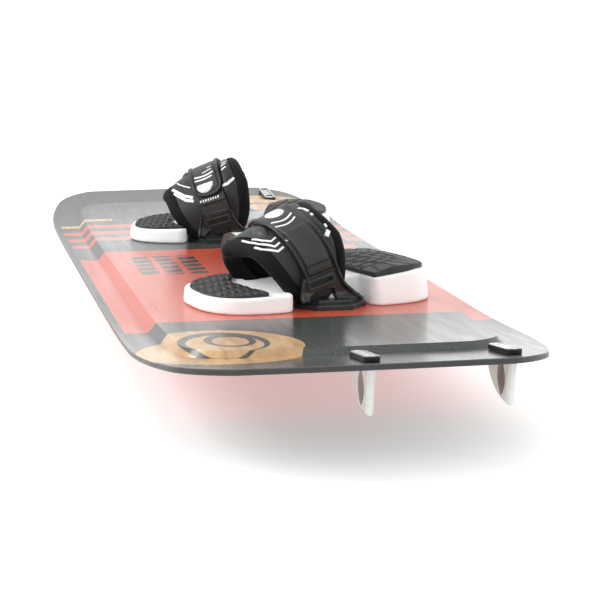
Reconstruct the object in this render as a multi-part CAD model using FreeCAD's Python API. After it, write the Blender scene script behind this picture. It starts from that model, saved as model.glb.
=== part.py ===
"""Twin-tip kite board with two adjustable foot straps, four fins and a grab handle.

Millimetres.  +X runs along the board, +Y to the toe edge, +Z up.  The origin is the middle of
the board's plan, at the level of the fin tips that the board stands on.
"""
import FreeCAD, Part
import math
import os

V = FreeCAD.Vector
UP = V(0, 0, 1)

# ---- board -------------------------------------------------------------------------------
LENGTH = 1368.0            # tip to tip
WIDTH = 415.0              # rail to rail, parallel over the middle
TIP_ARCS = ((600.0, 15.0), (108.0, 44.0), (18.0, 27.0))   # radius and turn, rail to tip edge
BASE_HEIGHT = 24.6         # underside of the rail above the fin tips, at the middle
FLAT_HALF = 300.0          # the base is flat this far each side of the middle
BASE_ARC = 2917.0          # rocker radius of the base beyond that
DECK_ARC = 4050.0          # and of the deck, so that the board thins towards its tips
RIM = 6.0                  # thickness of the rim
DECK = 16.5                # deck above the underside of the rail, at the middle
CONCAVE = 5.0              # hollow of the base across the board
SKIN = 1.0                 # glass and sheet on the deck, and on the base
RAIL_STRIP = 8.0           # width of the plastic rail
PANEL_HALF = (588.0, 176.0)   # foot of the raised middle, along and across
PANEL_CORNER = 70.0
BEVEL_SLOPE = 0.85         # bevel's width over its height
DECK_Z = BASE_HEIGHT + DECK

# ---- fins --------------------------------------------------------------------------------
FIN_THICK = 8.0
FIN_ROOT = 86.0
FIN_RAKE = 10.0            # the trailing edge leans in by this much
FINS = {"centre": (665.0, 3.0), "heel": (650.0, -140.0)}   # root's tip end and its line
FIN_PLATE = (68.0, 17.0, 6.0)
FIN_PLATE_LEAD = 3.0       # the plate starts this far outside the fin's root
FIN_SCREW_GAP = 44.0
M6 = 3.0

# ---- bindings ----------------------------------------------------------------------------
STANCE = 506.0             # pad centre to pad centre
PAD_Y = -27.0
DUCK = 12.0                # toes turned out
PAD_TOE = 146.0
PAD_HEEL = -132.0
PAD_HALF = 77.0
PAD_SPLIT_TOE = 52.0       # edges of the notch that clears the strap's foot
PAD_SPLIT_HEEL = -42.0
PAD_WAIST = 38.0
NOTCH_ROUND = 14.0         # of the pad's corners beside the notch
TOE_WALL = 18.0            # side wall above the deck
HEEL_WALL = 37.0
PAD_RIM = 7.0              # white margin left round the black tops
PLATE = 6.0
CLAMP = 4.5
PLATE_SIZE = (50.0, 82.0)
PLATE_CUT = (27.0, 21.0)   # corners cut off on the plate's free side
OUT_PLATE = (311.0, -36.0)
IN_PLATE = (212.0, 4.0)
OUT_BOLT = (306.0, -38.0)
IN_BOLT = (206.0, 0.0)
STRAP_AT = (253.5, -12.0)
STRAP_TURN = 13.5          # the strap runs square to the foot
STRAP_LEAN = 15.5          # and leans towards the toes
ARCH_HALF = 63.0           # half width of the strap arch, at its widest
ARCH_WIDEST = 46.0         # height of that above the deck
ARCH_RISE = 50.0           # and from there to the crest
ARCH_TUCK = 260.0          # radius of the legs, which draw in towards the deck
LINER = (-9.0, 0.0)        # layers of the strap, measured out from the arch line
SHELL = (0.3, 3.3)
BAND = (3.6, 9.6)
COLLAR = (-14.0, 3.3)
COLLAR_WIDE = 15.0
BAND_HALF = 22.0
HINGE_U = 8.0              # the flap starts here, just inside the crest
FLAP_END = 50.0            # height of the flap's free end up the inner leg

# ---- handle and inserts ------------------------------------------------------------------
HANDLE = (232.0, 34.0, 34.0)
HANDLE_FOOT = 44.0
HANDLE_BOLT = 96.0
INSERT_R = 5.5
INSERT_LONG = 9.0
SPARE_X = (156.0, 181.0)   # open inserts for a narrower stance
COVERED_X = (256.0, 281.0) # their partners, under the pads


def rise(x, arc):
    """Height gained by a rocker arc at x."""
    run = max(abs(x) - FLAT_HALF, 0.0)
    return arc - math.sqrt(arc * arc - run * run)


def rocker_edges(height, arc, reach):
    """Arc, flat and arc in the XZ plane, from -X to +X."""
    def at(x):
        return V(x, 0, height + rise(x, arc))
    half = (FLAT_HALF + reach) / 2
    return [Part.Arc(at(-reach), at(-half), at(-FLAT_HALF)).toShape(),
            Part.LineSegment(at(-FLAT_HALF), at(FLAT_HALF)).toShape(),
            Part.Arc(at(FLAT_HALF), at(half), at(reach)).toShape()]


def rocker_slab(edges, far_z):
    """Everything between a rocker line and the level far_z, wider than the board."""
    start = edges[0].Vertexes[0].Point
    end = edges[-1].Vertexes[-1].Point
    low, high = V(start.x, 0, far_z), V(end.x, 0, far_z)
    wire = Part.Wire(edges + [Part.LineSegment(end, high).toShape(),
                              Part.LineSegment(high, low).toShape(),
                              Part.LineSegment(low, start).toShape()])
    face = Part.Face(wire)
    face.translate(V(0, -WIDTH, 0))
    return face.extrude(V(0, 2 * WIDTH, 0))


def corner_arcs(half_w, inset):
    """Tangent arcs from the rail round one corner, starting at x = 0, then the tip's edge."""
    x, y, heading = 0.0, half_w, 0.0
    arcs = []
    for radius, turn in TIP_ARCS:
        radius = max(radius - inset, 4.0)
        spots = []
        for share in (0, 0.5, 1):
            now = heading + math.radians(turn) * share
            spots.append((x + radius * (math.sin(now) - math.sin(heading)),
                          y - radius * (math.cos(heading) - math.cos(now))))
        arcs.append(spots)
        x, y = spots[-1]
        heading += math.radians(turn)
    edge_r = y / math.cos(heading)
    arcs.append([(x, y), (x + edge_r * (1 - math.sin(heading)), 0), (x, -y)])
    return arcs


def outline_prism(inset):
    """The board's plan, drawn in by inset, as a tall prism."""
    half_w = WIDTH / 2 - inset
    corner = corner_arcs(half_w, inset)
    rail_end = LENGTH / 2 - inset - corner[-1][1][0]
    edges = [Part.LineSegment(V(-rail_end, y, 0), V(rail_end, y, 0)).toShape()
             for y in (half_w, -half_w)]
    for side in (1, -1):
        for spots in corner[:-1]:
            for flip in (1, -1):
                edges.append(Part.Arc(*[V(side * (rail_end + x), flip * y, 0)
                                        for x, y in spots]).toShape())
        edges.append(Part.Arc(*[V(side * (rail_end + x), y, 0) for x, y in corner[-1]]).toShape())
    wire = Part.Wire(Part.__sortEdges__(edges))
    return Part.Face(wire).extrude(V(0, 0, 200))


def rounded_rectangle(half_x, half_y, corner, z):
    """Rectangle with arc corners, at height z."""
    def arc(cx, cy, turn):
        spots = [V(cx + corner * math.cos(math.radians(turn + a)),
                   cy + corner * math.sin(math.radians(turn + a)), z) for a in (0, 45, 90)]
        return Part.Arc(*spots).toShape()
    x, y = half_x - corner, half_y - corner
    arcs = [arc(x, y, 0), arc(-x, y, 90), arc(-x, -y, 180), arc(x, -y, 270)]
    lines = [Part.LineSegment(arcs[i].Vertexes[-1].Point,
                              arcs[(i + 1) % 4].Vertexes[0].Point).toShape() for i in range(4)]
    return Part.Wire([edge for pair in zip(arcs, lines) for edge in pair])


def cylinder(x, y, low, high, radius):
    return Part.makeCylinder(radius, high - low, V(x, y, low))


def box(low, high):
    return Part.makeBox(high[0] - low[0], high[1] - low[1], high[2] - low[2], V(*low))


def prism(points, low, high):
    """Plan polygon raised from low to high."""
    loop = [V(x, y, low) for x, y in points]
    return Part.Face(Part.makePolygon(loop + loop[:1])).extrude(V(0, 0, high - low))


def mirrored(shape):
    """The same piece at the near tip."""
    return shape.mirror(V(0, 0, 0), V(1, 0, 0))


def save(name, shape):
    """Write one sub-part, after a check that it is sound."""
    shape = shape.removeSplitter()
    if not shape.isValid() or not shape.Solids:
        raise ValueError(name + " is not a sound solid")
    if len(shape.Solids) == 1:
        shape = shape.Solids[0]
    shape.exportStep("parts/" + name + ".step")
    print(name, len(shape.Solids), round(shape.Volume / 1000, 2), "cm3")


os.makedirs("parts", exist_ok=True)

# ---- board blank, then its layers --------------------------------------------------------
REACH = LENGTH / 2 + 8
rim_top = rocker_slab(rocker_edges(BASE_HEIGHT + RIM, BASE_ARC - RIM, REACH), -60)
deck_top = rocker_slab(rocker_edges(DECK_Z, DECK_ARC, REACH), -60)
above_base = rocker_slab(rocker_edges(BASE_HEIGHT, BASE_ARC, REACH), 180)

concave_r = (WIDTH ** 2 / 4 + CONCAVE ** 2) / (2 * CONCAVE)
hollow = Part.makeCylinder(concave_r, 2 * LENGTH, V(-LENGTH, 0, BASE_HEIGHT + CONCAVE - concave_r),
                           V(1, 0, 0))
above_base = above_base.cut(hollow)

PANEL_LOW, PANEL_HIGH = BASE_HEIGHT + RIM - 20, BASE_HEIGHT + RIM + 40


def panel_wire(z):
    draw_in = (z - BASE_HEIGHT - RIM) * BEVEL_SLOPE
    return rounded_rectangle(PANEL_HALF[0] - draw_in, PANEL_HALF[1] - draw_in,
                             PANEL_CORNER - draw_in, z)


panel = Part.makeLoft([panel_wire(PANEL_LOW), panel_wire(PANEL_HIGH)], True, True)
below_deck = rim_top.fuse(panel.common(deck_top)).removeSplitter()
board = outline_prism(0).common(above_base).common(below_deck)

under_skin = below_deck.copy()
under_skin.translate(V(0, 0, -SKIN))
over_skin = above_base.copy()
over_skin.translate(V(0, 0, SKIN))
top_sheet = board.cut(under_skin)
base_sheet = board.cut(over_skin)
middle = board.common(under_skin).common(over_skin)
inner = outline_prism(RAIL_STRIP)
core = middle.common(inner)
rail = middle.cut(inner)

# ---- holes for inserts and fin screws ----------------------------------------------------
used = [(side * x, y) for side in (-1, 1) for x, y in (OUT_BOLT, IN_BOLT)]
spare = [(side * x, IN_BOLT[1]) for side in (-1, 1) for x in SPARE_X]
spare += [(side * x, OUT_BOLT[1]) for side in (-1, 1) for x in COVERED_X]
handle_bolts = [(side * HANDLE_BOLT, 0.0) for side in (-1, 1)]


def insert(x, y):
    """Threaded metal sleeve set flush in the deck."""
    body = cylinder(x, y, DECK_Z - INSERT_LONG, DECK_Z, INSERT_R)
    return body.cut(cylinder(x, y, DECK_Z - INSERT_LONG - 1, DECK_Z + 1, M6))


sockets = Part.makeCompound([cylinder(x, y, DECK_Z - INSERT_LONG, DECK_Z + 5, INSERT_R)
                             for x, y in used + spare + handle_bolts])
fin_bolts = []
for tip, y in FINS.values():
    first = tip + FIN_PLATE_LEAD - FIN_PLATE[0] / 2 + FIN_SCREW_GAP / 2
    fin_bolts += [(side * (first - gap), y) for side in (-1, 1) for gap in (0.0, FIN_SCREW_GAP)]
fin_holes = Part.makeCompound([cylinder(x, y, 0, 120, M6 + 0.3) for x, y in fin_bolts])

save("top_sheet", top_sheet.cut(sockets).cut(fin_holes))
# the open sleeves stand in pockets that go right through the wood, down to the base sheet
pockets = Part.makeCompound([cylinder(side * x, IN_BOLT[1], BASE_HEIGHT, DECK_Z, INSERT_R)
                             for side in (-1, 1) for x in SPARE_X])
save("wood_core", core.cut(sockets).cut(pockets).cut(fin_holes))
save("base_sheet", base_sheet.cut(fin_holes))
save("rail_strip", rail)
save("binding_inserts", Part.makeCompound([insert(x, y) for x, y in used]))
save("spare_inserts", Part.makeCompound([insert(x, y) for x, y in spare]))
save("handle_inserts", Part.makeCompound([insert(x, y) for x, y in handle_bolts]))

# ---- fins, their deck plates and screws --------------------------------------------------
plate_zone = rocker_slab(rocker_edges(BASE_HEIGHT + RIM + FIN_PLATE[2],
                                      BASE_ARC - RIM - FIN_PLATE[2], REACH), -60).cut(rim_top)


def fin_body(tip, y):
    """Flat fin: upright trailing edge, sole along the floor, swept leading edge."""
    top = BASE_HEIGHT + 30
    root_in = tip - FIN_ROOT
    point = V(tip - FIN_RAKE, y, 0)
    sweep = Part.BezierCurve()
    sweep.setPoles([point, V(root_in + 10, y, 0), V(root_in, y, top)])
    edges = [sweep.toShape(),
             Part.LineSegment(V(root_in, y, top), V(tip, y, top)).toShape(),
             Part.LineSegment(V(tip, y, top), point).toShape()]
    fin = Part.Face(Part.Wire(edges)).extrude(V(0, FIN_THICK, 0))
    fin.translate(V(0, -FIN_THICK / 2, 0))
    slope = [edge for edge in fin.Edges if edge.Length > FIN_THICK + 1
             and min(v.Point.z for v in edge.Vertexes) < 1 and edge.BoundBox.YLength < 0.1]
    return fin.makeChamfer(2.4, slope).cut(above_base)


def fin_plate(tip, y):
    """Rounded bar on the deck that the fin's screws bear on, with a groove along one side."""
    long, wide, high = FIN_PLATE
    outer = tip + FIN_PLATE_LEAD
    centre_x = outer - long / 2
    wire = rounded_rectangle(long / 2, wide / 2, wide / 2 - 0.5, 0)
    wire.translate(V(centre_x, y, 0))
    bar = Part.Face(wire).extrude(V(0, 0, 200)).common(plate_zone)
    level = BASE_HEIGHT + RIM + high + rise(centre_x, BASE_ARC)
    rims = [e for e in bar.Edges if e.BoundBox.ZMin > level - 5.5 and e.BoundBox.ZLength < 5]
    bar = bar.makeFillet(1.6, [e for e in rims if e.CenterOfMass.z > level - 3])
    return bar


screws = []
for label, (tip, y) in FINS.items():
    fin = fin_body(tip, y)
    plate = fin_plate(tip, y)
    first = tip + FIN_PLATE_LEAD - FIN_PLATE[0] / 2 + FIN_SCREW_GAP / 2
    for gap in (0.0, FIN_SCREW_GAP):
        x = first - gap
        seat = BASE_HEIGHT + RIM + FIN_PLATE[2] + rise(x, BASE_ARC) - 3.4
        foot = BASE_HEIGHT + rise(x, BASE_ARC) - 13
        screw = cylinder(x, y, foot, seat, M6).fuse(cylinder(x, y, seat, seat + 3, 5.2))
        key = Part.Face(Part.makePolygon([V(x + 2 * math.cos(math.radians(a)),
                                            y + 2 * math.sin(math.radians(a)), seat + 1)
                                          for a in range(0, 361, 60)])).extrude(V(0, 0, 5))
        screws.append(screw.cut(key))
        fin = fin.cut(cylinder(x, y, foot - 1, seat, M6 + 0.02))
        plate = plate.cut(cylinder(x, y, 0, seat + 1, M6 + 0.3)).cut(
            cylinder(x, y, seat, seat + 30, 5.5))
    save("fin_far_" + label, fin)
    save("fin_near_" + label, mirrored(fin))
    save("fin_plate_far_" + label, plate)
    save("fin_plate_near_" + label, mirrored(plate))
save("fin_screws", Part.makeCompound(screws + [mirrored(s) for s in screws]))

# ---- grab handle -------------------------------------------------------------------------
long, wide, high = HANDLE
arch = Part.BezierCurve()
arch.setPoles([V(-long / 2, 0, DECK_Z + 9), V(-long / 2 + 34, 0, DECK_Z + high + 1),
               V(-60, 0, DECK_Z + high), V(0, 0, DECK_Z + high)])
arch_back = Part.BezierCurve()
arch_back.setPoles([V(0, 0, DECK_Z + high), V(60, 0, DECK_Z + high),
                    V(long / 2 - 34, 0, DECK_Z + high + 1), V(long / 2, 0, DECK_Z + 9)])
profile = [arch.toShape(), arch_back.toShape()]
floor_line = [V(long / 2, 0, DECK_Z + 9), V(long / 2, 0, DECK_Z), V(-long / 2, 0, DECK_Z),
              V(-long / 2, 0, DECK_Z + 9)]
profile += [Part.LineSegment(a, b).toShape() for a, b in zip(floor_line, floor_line[1:])]
grip = Part.Face(Part.Wire(profile)).extrude(V(0, wide, 0))
grip.translate(V(0, -wide / 2, 0))
finger_x = long / 2 - HANDLE_FOOT
gap = box((-finger_x, -wide, DECK_Z - 1), (finger_x, wide, DECK_Z + high - 11))
gap = gap.makeFillet(9, [e for e in gap.Edges if e.BoundBox.YLength > wide
                         and e.CenterOfMass.z > DECK_Z])
grip = grip.cut(gap)
top_pad = grip.common(box((-70, -wide / 2 + 4, DECK_Z + high - 3), (70, wide / 2 - 4, 200)))
grip = grip.cut(top_pad)
handle_parts = {"handle_screws": [], "handle_washers": []}
for x, y in handle_bolts:
    seat = DECK_Z + 8
    grip = grip.cut(cylinder(x, y, DECK_Z - 1, 200, M6 + 0.3)).cut(cylinder(x, y, seat, 200, 9))
    washer = cylinder(x, y, seat, seat + 1.6, 8.5)
    handle_parts["handle_washers"].append(washer.cut(cylinder(x, y, seat - 1, seat + 3, M6 + 0.3)))
    screw = cylinder(x, y, DECK_Z - INSERT_LONG + 1, seat + 1.6, M6 - 0.02)
    handle_parts["handle_screws"].append(screw.fuse(cylinder(x, y, seat + 1.6, seat + 5.2, 5.2)))
save("handle_grip", grip)
save("handle_top_pad", top_pad)
for name, solids in handle_parts.items():
    save(name, Part.makeCompound(solids))


# ---- foot pads ---------------------------------------------------------------------------
def place_pad(shape):
    """From the pad's own frame (X outboard, Y to the toes) to the far binding."""
    shape = shape.copy()
    shape.rotate(V(0, 0, 0), UP, -DUCK)
    shape.translate(V(STANCE / 2, PAD_Y, DECK_Z))
    return shape


def pad_wire(inset, z):
    """Rounded foot shape: superellipse ends, parallel sides."""
    half = PAD_HALF - inset
    points = []
    for end, centre, power in ((1, 70.0, 2.7), (-1, -62.0, 2.7)):
        reach = (PAD_TOE if end > 0 else -PAD_HEEL) - inset - abs(centre)
        for step in range(0, 13):
            turn = math.pi * step / 12
            cos, sin = math.cos(turn), math.sin(turn)
            u = math.copysign(abs(cos) ** (2 / power), cos) * half
            points.append(V(end * u, centre + end * reach * sin ** (2 / power), z))
    curve = Part.BSplineCurve()
    curve.interpolate(Points=points, PeriodicFlag=True)
    return Part.Wire(curve.toShape())


def side_cut(profile, low):
    """Solid under a side profile, given as (toe position, height), across the pad."""
    loop = [V(-120, w, z) for w, z in profile]
    loop += [V(-120, profile[-1][0], low), V(-120, profile[0][0], low)]
    return Part.Face(Part.makePolygon(loop + loop[:1])).extrude(V(240, 0, 0))


pad_body = Part.makeLoft([pad_wire(0, 0), pad_wire(5, 50)], True, True)
white_top = side_cut([(-160, 33), (-100, HEEL_WALL), (PAD_SPLIT_HEEL, 31), (20, 23),
                      (PAD_SPLIT_TOE, 20), (160, TOE_WALL - 2)], -1)
toe_top = side_cut([(20, 26.5), (PAD_SPLIT_TOE, 25.5), (100, 23), (160, 17.5)], -1)
heel_top = side_cut([(-160, 33.5), (-132, 38), (-100, 43), (-70, 43), (PAD_SPLIT_HEEL, 36),
                     (-20, 31)], -1)
inside_rim = Part.Face(pad_wire(PAD_RIM, -1)).extrude(V(0, 0, 60))


def waist_notch(side, shift):
    """Room for the strap's foot in one side of the pad, its outer corners rounded off."""
    centre = PAD_HALF - NOTCH_ROUND
    low, high = PAD_SPLIT_HEEL + shift, PAD_SPLIT_TOE + shift
    points = [(PAD_WAIST, low), (PAD_WAIST, high)]
    for edge, way, turns in ((high, 1, range(0, 91, 15)), (low, -1, range(90, -1, -15))):
        points += [(centre + NOTCH_ROUND * math.sin(math.radians(a)),
                    edge + way * NOTCH_ROUND * (1 - math.cos(math.radians(a)))) for a in turns]
        if way > 0:
            points += [(120, edge + NOTCH_ROUND), (120, low - NOTCH_ROUND)]
    return prism([(side * u, w) for u, w in points], -1, 60)


notches = waist_notch(1, 0).fuse(waist_notch(-1, 12))
toe_zone = prism([(-100, 54), (-20, 92), (100, 78), (100, 160), (-100, 160)], -1, 60)
heel_zone = prism([(-100, -160), (100, -160), (100, PAD_SPLIT_HEEL - 5), (10, -40),
                   (-100, PAD_SPLIT_HEEL + 4)], -1, 60)

pad_white = pad_body.common(white_top).cut(notches)
pad_toe = inside_rim.common(toe_zone).common(toe_top).cut(white_top)
pad_heel = inside_rim.common(heel_zone).common(heel_top).cut(white_top)


# ---- base plates, clamps, screws and washers ---------------------------------------------
def plate_points(centre, free_side, margin):
    """Plan of a base plate: a rectangle with the two corners on its free side cut off."""
    half_x, half_y = PLATE_SIZE[0] / 2 - margin, PLATE_SIZE[1] / 2 - margin
    cut_x, cut_y = PLATE_CUT[0] - margin * 0.6, PLATE_CUT[1] - margin * 0.6
    corners = [(-half_x, -half_y), (half_x - cut_x, -half_y), (half_x, -half_y + cut_y),
               (half_x, half_y - cut_y), (half_x - cut_x, half_y), (-half_x, half_y)]
    return [(centre[0] + free_side * x, centre[1] + y) for x, y in corners]


pad_solids = {"pad_base": place_pad(pad_white), "pad_toe_top": place_pad(pad_toe),
              "pad_heel_top": place_pad(pad_heel)}
hardware = {}
bolts, washers = [], []
clamp_top = DECK_Z + PLATE + CLAMP
for label, centre, bolt, free in (("outboard", OUT_PLATE, OUT_BOLT, 1),
                                  ("inboard", IN_PLATE, IN_BOLT, -1)):
    hole = cylinder(*bolt, 0, 120, M6 + 0.3)
    lower = prism(plate_points(centre, free, 0), DECK_Z, DECK_Z + PLATE)
    upper = prism(plate_points(centre, free, 6), DECK_Z + PLATE, clamp_top)
    for key, plate, size in (("base_plate_", lower, 1.5), ("clamp_plate_", upper, 1.5)):
        top = plate.BoundBox.ZMax
        rim = [e for e in plate.Edges if e.BoundBox.ZMin > top - 0.1]
        hardware[key + label] = plate.makeChamfer(size, rim).cut(hole).cut(deck_top)
    clearance = prism(plate_points(centre, free, -0.6), DECK_Z - 1, clamp_top + 0.6)
    for name in pad_solids:
        pad_solids[name] = pad_solids[name].cut(clearance)
    washers.append(cylinder(*bolt, clamp_top, clamp_top + 1.4, 8).cut(hole))
    head = cylinder(*bolt, clamp_top + 1.4, clamp_top + 5, 5)
    socket = Part.Face(Part.makePolygon([
        V(bolt[0] + 2.3 * math.cos(math.radians(a)), bolt[1] + 2.3 * math.sin(math.radians(a)),
          clamp_top + 3) for a in range(0, 361, 60)])).extrude(V(0, 0, 5))
    shank = cylinder(*bolt, DECK_Z - INSERT_LONG + 1, clamp_top + 1.4, M6 - 0.02)
    bolts.append(shank.fuse(head).cut(socket))
hardware["binding_screws"] = Part.makeCompound(bolts)
hardware["binding_washers"] = Part.makeCompound(washers)


# ---- strap -------------------------------------------------------------------------------
def arch_edges(offset):
    """Arch line offset outwards, in the XZ plane: leg arc, half ellipse, leg arc."""
    half, rise_up, leg = ARCH_HALF + offset, ARCH_RISE + offset, ARCH_TUCK + offset
    middle_x = ARCH_HALF - ARCH_TUCK
    drop = math.radians(14)

    def leg_arc(side):
        spots = [V(side * (middle_x + leg * math.cos(a)), 0, ARCH_WIDEST - leg * math.sin(a))
                 for a in (0, drop / 2, drop)]
        return Part.Arc(*(spots[::-1] if side < 0 else spots)).toShape()
    major, minor = max(half, rise_up), min(half, rise_up)
    ellipse = Part.Ellipse(V(0, 0, 0), major, minor)
    top = ellipse.toShape(0, math.pi)
    top.rotate(V(0, 0, 0), V(1, 0, 0), 90)
    top.translate(V(0, 0, ARCH_WIDEST))
    return [leg_arc(-1), top, leg_arc(1)]


def arch_layer(inner_offset, outer_offset):
    """The arch as a layer of even thickness, 200 wide along Y."""
    outside, inside = arch_edges(outer_offset), arch_edges(inner_offset)
    ends = [(outside[0].Vertexes, inside[0].Vertexes), (outside[2].Vertexes, inside[2].Vertexes)]
    links = []
    for first, second in ends:
        low_a = min((v.Point for v in first), key=lambda p: p.z)
        low_b = min((v.Point for v in second), key=lambda p: p.z)
        links.append(Part.LineSegment(low_a, low_b).toShape())
    wire = Part.Wire(Part.__sortEdges__(outside + inside + links))
    face = Part.Face(wire)
    face.translate(V(0, -100, 0))
    return face.extrude(V(0, 200, 0))


def side_shape(points, low_u=-150.0, high_u=150.0):
    """Side outline, given as (towards the toes, up), drawn through from low_u to high_u."""
    loop = [V(low_u, q, s) for q, s in points]
    return Part.Face(Part.makePolygon(loop + loop[:1])).extrude(V(high_u - low_u, 0, 0))


def place_strap(shape):
    """From the strap's own frame to the far binding."""
    shape = shape.copy()
    shape.rotate(V(0, 0, 0), V(1, 0, 0), -STRAP_LEAN)
    shape.rotate(V(0, 0, 0), UP, -STRAP_TURN)
    shape.translate(V(STRAP_AT[0], STRAP_AT[1], DECK_Z))
    return shape


WING = [(-26, 0), (-40, 20), (-47, 45), (-48, 70), (-42, 130), (60, 130), (56, 75), (46, 40),
        (36, 20), (20, 0)]


def wing_outline(inset):
    """The padded part's side outline, drawn in at its two free edges."""
    return [(q + inset if q < 0 else q - inset, s) for q, s in WING]


padded = side_shape(wing_outline(0))
inner_padded = side_shape(wing_outline(COLLAR_WIDE))
collar_ring = arch_layer(*COLLAR).common(padded).cut(inner_padded)
toe_side = box((-150, 0, -20), (150, 100, 200))
collar_toe = collar_ring.common(toe_side)
collar_heel = collar_ring.cut(toe_side)
liner = arch_layer(*LINER).common(side_shape(wing_outline(COLLAR_WIDE + 0.3)))
shell = arch_layer(*SHELL).common(side_shape(wing_outline(COLLAR_WIDE + 0.3)))

band_layer = arch_layer(*BAND)
bracket_top = 41.0
bracket_outline = [(-40, -10), (36, -10), (BAND_HALF + 2, bracket_top),
                   (-BAND_HALF - 2, bracket_top)]
bolt_recess = box((-150, -17, -20), (150, 17, 20))
slot = box((-150, -15, 27), (150, 15, 34))
bracket = band_layer.common(side_shape(bracket_outline)).cut(bolt_recess).cut(slot)
bracket_out = bracket.common(box((0, -100, -50), (150, 100, 200)))
bracket_in = bracket.common(box((-150, -100, -50), (0, 100, 200)))

band_outline = [(-BAND_HALF, bracket_top + 0.4), (BAND_HALF, bracket_top + 0.4),
                (BAND_HALF, 140), (-BAND_HALF, 140)]
band = band_layer.common(side_shape(band_outline, -HINGE_U, 150))
flap_round = 18.0
flap_outline = [(-BAND_HALF, 140), (BAND_HALF, 140), (BAND_HALF, FLAP_END + flap_round)]
flap_outline += [(BAND_HALF * math.cos(math.radians(a)),
                  FLAP_END + flap_round - flap_round * math.sin(math.radians(a)))
                 for a in range(15, 166, 15)]
flap_outline += [(-BAND_HALF, FLAP_END + flap_round)]
flap = band_layer.common(side_shape(flap_outline, -150, -HINGE_U - 0.4))
badge_layer = arch_layer(BAND[1] + 0.05, BAND[1] + 1.6)
badge_tool = Part.makeCylinder(1, 60)
stretch = FreeCAD.Matrix()
stretch.scale(V(11, 17, 1))
badge_tool = badge_tool.transformGeometry(stretch)
badge_tool.rotate(V(0, 0, 0), V(0, 1, 0), -35)
badge_tool.translate(V(-20, 0, ARCH_WIDEST + 10))
badge = badge_layer.common(badge_tool)

strap_solids = {"collar_toe": collar_toe, "collar_heel": collar_heel, "strap_liner": liner,
                "strap_shell": shell, "bracket_outboard": bracket_out,
                "bracket_inboard": bracket_in, "strap_band": band, "strap_flap": flap,
                "flap_badge": badge}
above_clamps = box((0, -300, clamp_top + 0.05), (600, 300, 300))
above_bolts = box((0, -300, clamp_top + 6), (600, 300, 300))
binding = dict(pad_solids)
binding.update(hardware)
for name, solid in strap_solids.items():
    level = above_clamps if name.startswith("bracket") else above_bolts
    binding[name] = place_strap(solid).common(level)
for name in pad_solids:
    binding[name] = binding[name].cut(deck_top)
for name in ("collar_toe", "strap_liner"):
    for pad in ("pad_toe_top", "pad_base"):
        binding[name] = binding[name].cut(binding[pad])
for name, bolt in (("bracket_outboard", OUT_BOLT), ("bracket_inboard", IN_BOLT)):
    binding[name] = binding[name].cut(cylinder(*bolt, clamp_top - 1, clamp_top + 9, 8.6))
for name, solid in binding.items():
    save(name + "_far", solid)
    save(name + "_near", mirrored(solid))

hinge = place_strap(Part.Vertex(V(-HINGE_U, 0, ARCH_WIDEST + ARCH_RISE + BAND[1])))
print("flap hinge", hinge.Point)
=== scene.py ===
"""Looks of a twin-tip kite board with padded foot straps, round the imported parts."""
import bisect
import math

import bmesh
import bpy
from mathutils import Matrix, Vector


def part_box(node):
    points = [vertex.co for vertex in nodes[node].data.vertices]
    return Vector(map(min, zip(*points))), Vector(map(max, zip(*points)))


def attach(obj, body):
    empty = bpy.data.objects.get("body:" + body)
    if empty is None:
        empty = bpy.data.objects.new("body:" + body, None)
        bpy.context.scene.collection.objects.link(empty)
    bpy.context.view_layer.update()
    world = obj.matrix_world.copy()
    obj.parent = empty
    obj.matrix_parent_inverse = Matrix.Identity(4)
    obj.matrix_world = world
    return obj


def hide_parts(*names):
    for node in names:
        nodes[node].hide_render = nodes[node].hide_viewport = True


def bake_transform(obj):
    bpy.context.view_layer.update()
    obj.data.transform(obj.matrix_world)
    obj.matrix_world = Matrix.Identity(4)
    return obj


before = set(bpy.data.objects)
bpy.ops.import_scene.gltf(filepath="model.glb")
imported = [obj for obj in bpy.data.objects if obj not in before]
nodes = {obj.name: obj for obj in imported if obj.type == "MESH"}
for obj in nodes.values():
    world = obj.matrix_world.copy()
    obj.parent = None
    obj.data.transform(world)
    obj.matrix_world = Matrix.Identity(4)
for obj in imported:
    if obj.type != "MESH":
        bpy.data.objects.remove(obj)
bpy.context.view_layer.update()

# ---- Camera, floor and lights ------------------------------------------------------------
# A long lens looks down the board from beyond its near tip. The floor is pale and matt, below the
# fins, under a bright even sky. One light comes from the toe side, a weak one from the heel side,
# and a low one behind the far tip puts a sheen on the deck.
LENS = 117.1
CAMERA_AT = Vector((-2.3907, 0.4284, 0.4306))
CAMERA_YAW, CAMERA_PITCH = -0.2037, 0.1773
SENSOR_WIDE = 36.0
FLOOR_Z = -0.055
SKY_STRENGTH = 1.1


def finish(name, **sockets):
    """A node material: returns it with its main shader, whose plain sockets are set here."""
    material = bpy.data.materials.new(name)
    material.use_nodes = True
    shader = material.node_tree.nodes["Principled BSDF"]
    for socket, value in sockets.items():
        shader.inputs[socket.replace("_", " ")].default_value = value
    return material, shader


def colour(red, green, blue):
    return (red, green, blue, 1.0)


sky = bpy.data.worlds.new("studio")
sky.use_nodes = True
sky.node_tree.nodes["Background"].inputs[0].default_value = colour(1, 1, 1)
sky.node_tree.nodes["Background"].inputs[1].default_value = SKY_STRENGTH
scene = bpy.context.scene
scene.world = sky
scene.view_settings.view_transform = "Standard"

camera = bpy.data.objects.new("camera", bpy.data.cameras.new("camera"))
scene.collection.objects.link(camera)
camera.data.lens, camera.data.sensor_width = LENS, SENSOR_WIDE
camera.data.clip_end = 100
camera.location = CAMERA_AT
look = Vector((math.cos(CAMERA_YAW) * math.cos(CAMERA_PITCH),
               math.sin(CAMERA_YAW) * math.cos(CAMERA_PITCH), -math.sin(CAMERA_PITCH)))
camera.rotation_euler = look.to_track_quat("-Z", "Y").to_euler()
scene.camera = camera

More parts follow.
